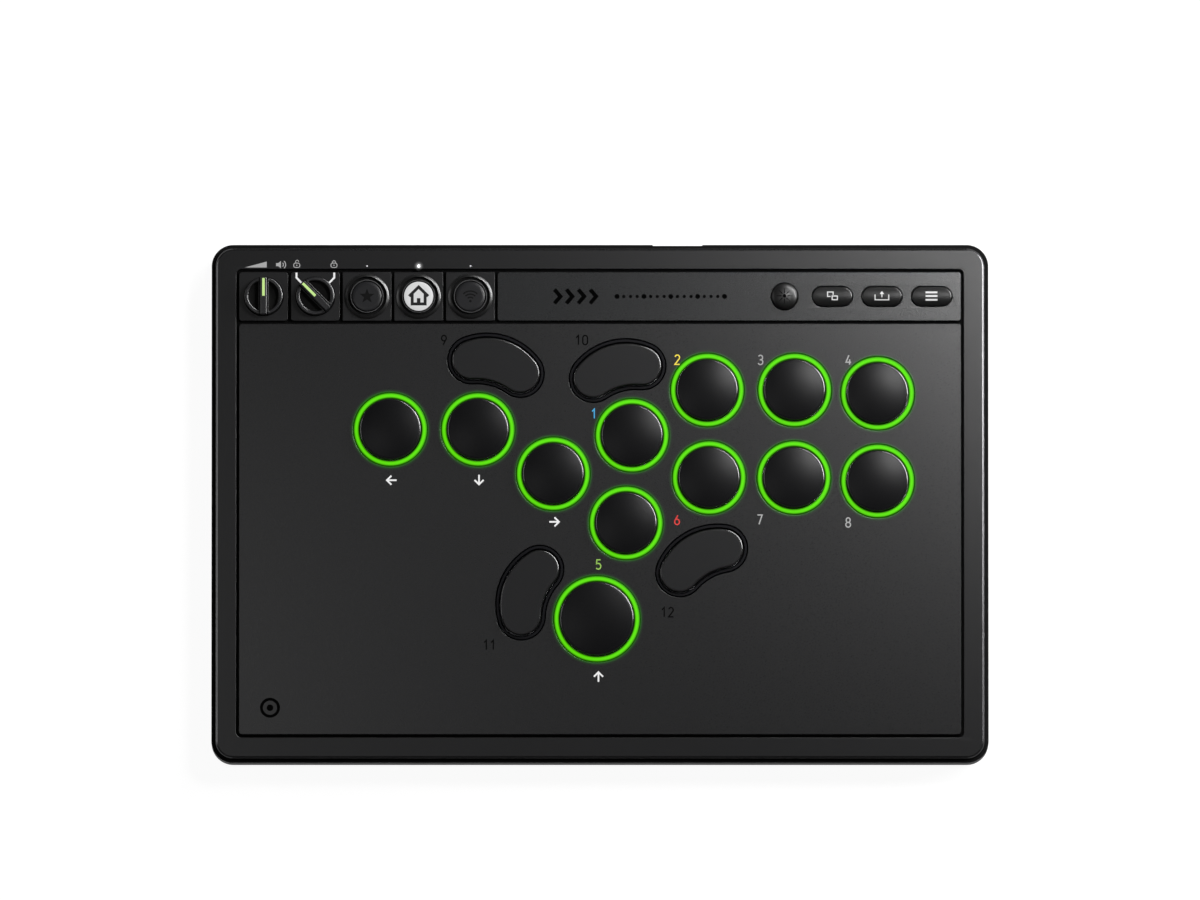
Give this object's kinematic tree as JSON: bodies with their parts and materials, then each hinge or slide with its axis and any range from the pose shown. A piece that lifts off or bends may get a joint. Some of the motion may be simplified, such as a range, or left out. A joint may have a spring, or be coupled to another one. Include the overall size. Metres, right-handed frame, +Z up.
{
  "type": "all-button arcade controller",
  "caption": "Slim rectangular tabletop arcade controller with lit round buttons, bean-shaped buttons and a control strip of small buttons and knobs.",
  "frame": {"origin": "centre of the footprint at the height of the table it stands on", "axes": "+X to the player's right along the long side, +Y away from the player towards the rear connectors, +Z up out of the button face"},
  "size_m": [0.3006, 0.201, 0.0218],
  "materials": {
    "case_plastic": "fine-textured black moulding",
    "frame_aluminium": "dark grey fine-grained satin",
    "panel_aluminium": "dark grey fine-grained satin",
    "tile_aluminium": "dark grey fine-grained satin",
    "light_ring": "translucent light guide, lit lime green from below",
    "bezel_plastic": "satin black",
    "collar_plastic": "satin black",
    "plate_aluminium": "bare satin sheet",
    "switch_plastic": "black nylon",
    "stem_plastic": "red acetal",
    "circuit_board": "dark green solder mask",
    "rotary_metal": "zinc-plated housing",
    "battery_wrap": "grey foil wrap",
    "port_steel": "plated steel shell",
    "jack_plastic": "black",
    "mat_rubber": "matt non-slip sheet",
    "screw_steel": "blackened",
    "knob_plastic": "satin black",
    "button_plastic": "satin black",
    "cap_plastic": "satin black",
    "print_white": "white print",
    "print_black": "black print",
    "print_colour": "coloured print",
    "lamp_white": "white diffuser, lit from below",
    "pointer_plastic": "pale green inlay",
    "spring_steel": "bright wire"
  },
  "bodies": {
    "case": {"bottom_case": "case_plastic", "top_frame": "frame_aluminium", "main_panel": "panel_aluminium", "control_panel": "panel_aluminium", "control_tiles": "tile_aluminium", "light_rings": "light_ring", "bean_bezels": "bezel_plastic", "button_collars": "collar_plastic", "switch_plate": "plate_aluminium", "switch_housings": "switch_plastic", "main_board": "circuit_board", "control_board": "circuit_board", "tact_switches": "switch_plastic", "rotary_bases": "rotary_metal", "battery_pack": "battery_wrap", "usb_c_port": "port_steel", "headset_jack": "jack_plastic", "rubber_mat": "mat_rubber", "case_screws": "screw_steel"},
    "left_key": {"left_cap": "cap_plastic", "left_stem": "stem_plastic"},
    "down_key": {"down_cap": "cap_plastic", "down_stem": "stem_plastic"},
    "right_key": {"right_cap": "cap_plastic", "right_stem": "stem_plastic"},
    "jump_key": {"jump_cap": "cap_plastic", "jump_stem": "stem_plastic"},
    "action_1_key": {"action_1_cap": "cap_plastic", "action_1_stem": "stem_plastic"},
    "action_2_key": {"action_2_cap": "cap_plastic", "action_2_stem": "stem_plastic"},
    "action_3_key": {"action_3_cap": "cap_plastic", "action_3_stem": "stem_plastic"},
    "action_4_key": {"action_4_cap": "cap_plastic", "action_4_stem": "stem_plastic"},
    "action_5_key": {"action_5_cap": "cap_plastic", "action_5_stem": "stem_plastic"},
    "action_6_key": {"action_6_cap": "cap_plastic", "action_6_stem": "stem_plastic"},
    "action_7_key": {"action_7_cap": "cap_plastic", "action_7_stem": "stem_plastic"},
    "action_8_key": {"action_8_cap": "cap_plastic", "action_8_stem": "stem_plastic"},
    "bean_1_key": {"bean_1_cap": "cap_plastic", "bean_1_stem": "stem_plastic"},
    "bean_2_key": {"bean_2_cap": "cap_plastic", "bean_2_stem": "stem_plastic"},
    "bean_3_key": {"bean_3_cap": "cap_plastic", "bean_3_stem": "stem_plastic"},
    "bean_4_key": {"bean_4_cap": "cap_plastic", "bean_4_stem": "stem_plastic"},
    "profile_switch": {"profile_button": "button_plastic"},
    "home_switch": {"home_button": "button_plastic"},
    "link_switch": {"link_button": "button_plastic"},
    "light_switch": {"light_button": "button_plastic"},
    "view_switch": {"view_button": "button_plastic"},
    "share_switch": {"share_button": "button_plastic"},
    "menu_switch": {"menu_button": "button_plastic"},
    "volume_control": {"volume_knob": "knob_plastic"},
    "lock_control": {"lock_knob": "knob_plastic"}
  },
  "joints": [
    {"name": "left_press", "type": "slide", "parent": "case", "child": "left_key", "axis": [0, 0, 1], "range_m": [-0.003, 0], "stiffness_N_per_m": 100, "springref_m": 0.003},
    {"name": "down_press", "type": "slide", "parent": "case", "child": "down_key", "axis": [0, 0, 1], "range_m": [-0.003, 0], "stiffness_N_per_m": 100, "springref_m": 0.003},
    {"name": "right_press", "type": "slide", "parent": "case", "child": "right_key", "axis": [0, 0, 1], "range_m": [-0.003, 0], "stiffness_N_per_m": 100, "springref_m": 0.003},
    {"name": "jump_press", "type": "slide", "parent": "case", "child": "jump_key", "axis": [0, 0, 1], "range_m": [-0.003, 0], "stiffness_N_per_m": 100, "springref_m": 0.003},
    {"name": "action_1_press", "type": "slide", "parent": "case", "child": "action_1_key", "axis": [0, 0, 1], "range_m": [-0.003, 0], "stiffness_N_per_m": 100, "springref_m": 0.003},
    {"name": "action_2_press", "type": "slide", "parent": "case", "child": "action_2_key", "axis": [0, 0, 1], "range_m": [-0.003, 0], "stiffness_N_per_m": 100, "springref_m": 0.003},
    {"name": "action_3_press", "type": "slide", "parent": "case", "child": "action_3_key", "axis": [0, 0, 1], "range_m": [-0.003, 0], "stiffness_N_per_m": 100, "springref_m": 0.003},
    {"name": "action_4_press", "type": "slide", "parent": "case", "child": "action_4_key", "axis": [0, 0, 1], "range_m": [-0.003, 0], "stiffness_N_per_m": 100, "springref_m": 0.003},
    {"name": "action_5_press", "type": "slide", "parent": "case", "child": "action_5_key", "axis": [0, 0, 1], "range_m": [-0.003, 0], "stiffness_N_per_m": 100, "springref_m": 0.003},
    {"name": "action_6_press", "type": "slide", "parent": "case", "child": "action_6_key", "axis": [0, 0, 1], "range_m": [-0.003, 0], "stiffness_N_per_m": 100, "springref_m": 0.003},
    {"name": "action_7_press", "type": "slide", "parent": "case", "child": "action_7_key", "axis": [0, 0, 1], "range_m": [-0.003, 0], "stiffness_N_per_m": 100, "springref_m": 0.003},
    {"name": "action_8_press", "type": "slide", "parent": "case", "child": "action_8_key", "axis": [0, 0, 1], "range_m": [-0.003, 0], "stiffness_N_per_m": 100, "springref_m": 0.003},
    {"name": "bean_1_press", "type": "slide", "parent": "case", "child": "bean_1_key", "axis": [0, 0, 1], "range_m": [-0.003, 0], "stiffness_N_per_m": 100, "springref_m": 0.003},
    {"name": "bean_2_press", "type": "slide", "parent": "case", "child": "bean_2_key", "axis": [0, 0, 1], "range_m": [-0.003, 0], "stiffness_N_per_m": 100, "springref_m": 0.003},
    {"name": "bean_3_press", "type": "slide", "parent": "case", "child": "bean_3_key", "axis": [0, 0, 1], "range_m": [-0.003, 0], "stiffness_N_per_m": 100, "springref_m": 0.003},
    {"name": "bean_4_press", "type": "slide", "parent": "case", "child": "bean_4_key", "axis": [0, 0, 1], "range_m": [-0.003, 0], "stiffness_N_per_m": 100, "springref_m": 0.003},
    {"name": "profile_press", "type": "slide", "parent": "case", "child": "profile_switch", "axis": [0, 0, 1], "range_m": [-0.0008, 0], "stiffness_N_per_m": 600, "springref_m": 0.0012},
    {"name": "home_press", "type": "slide", "parent": "case", "child": "home_switch", "axis": [0, 0, 1], "range_m": [-0.0008, 0], "stiffness_N_per_m": 600, "springref_m": 0.0012},
    {"name": "link_press", "type": "slide", "parent": "case", "child": "link_switch", "axis": [0, 0, 1], "range_m": [-0.0008, 0], "stiffness_N_per_m": 600, "springref_m": 0.0012},
    {"name": "light_press", "type": "slide", "parent": "case", "child": "light_switch", "axis": [0, 0, 1], "range_m": [-0.0008, 0], "stiffness_N_per_m": 600, "springref_m": 0.0012},
    {"name": "view_press", "type": "slide", "parent": "case", "child": "view_switch", "axis": [0, 0, 1], "range_m": [-0.0008, 0], "stiffness_N_per_m": 600, "springref_m": 0.0012},
    {"name": "share_press", "type": "slide", "parent": "case", "child": "share_switch", "axis": [0, 0, 1], "range_m": [-0.0008, 0], "stiffness_N_per_m": 600, "springref_m": 0.0012},
    {"name": "menu_press", "type": "slide", "parent": "case", "child": "menu_switch", "axis": [0, 0, 1], "range_m": [-0.0008, 0], "stiffness_N_per_m": 600, "springref_m": 0.0012},
    {"name": "volume_turn", "type": "hinge", "parent": "case", "child": "volume_control", "pos_m": [-0.13018, 0.08025, 0.0178], "axis": [0, 0, 1], "range_deg": [-135, 135]},
    {"name": "lock_turn", "type": "hinge", "parent": "case", "child": "lock_control", "pos_m": [-0.11017, 0.08025, 0.0178], "axis": [0, 0, 1], "range_deg": [-90, 0]}
  ]
}
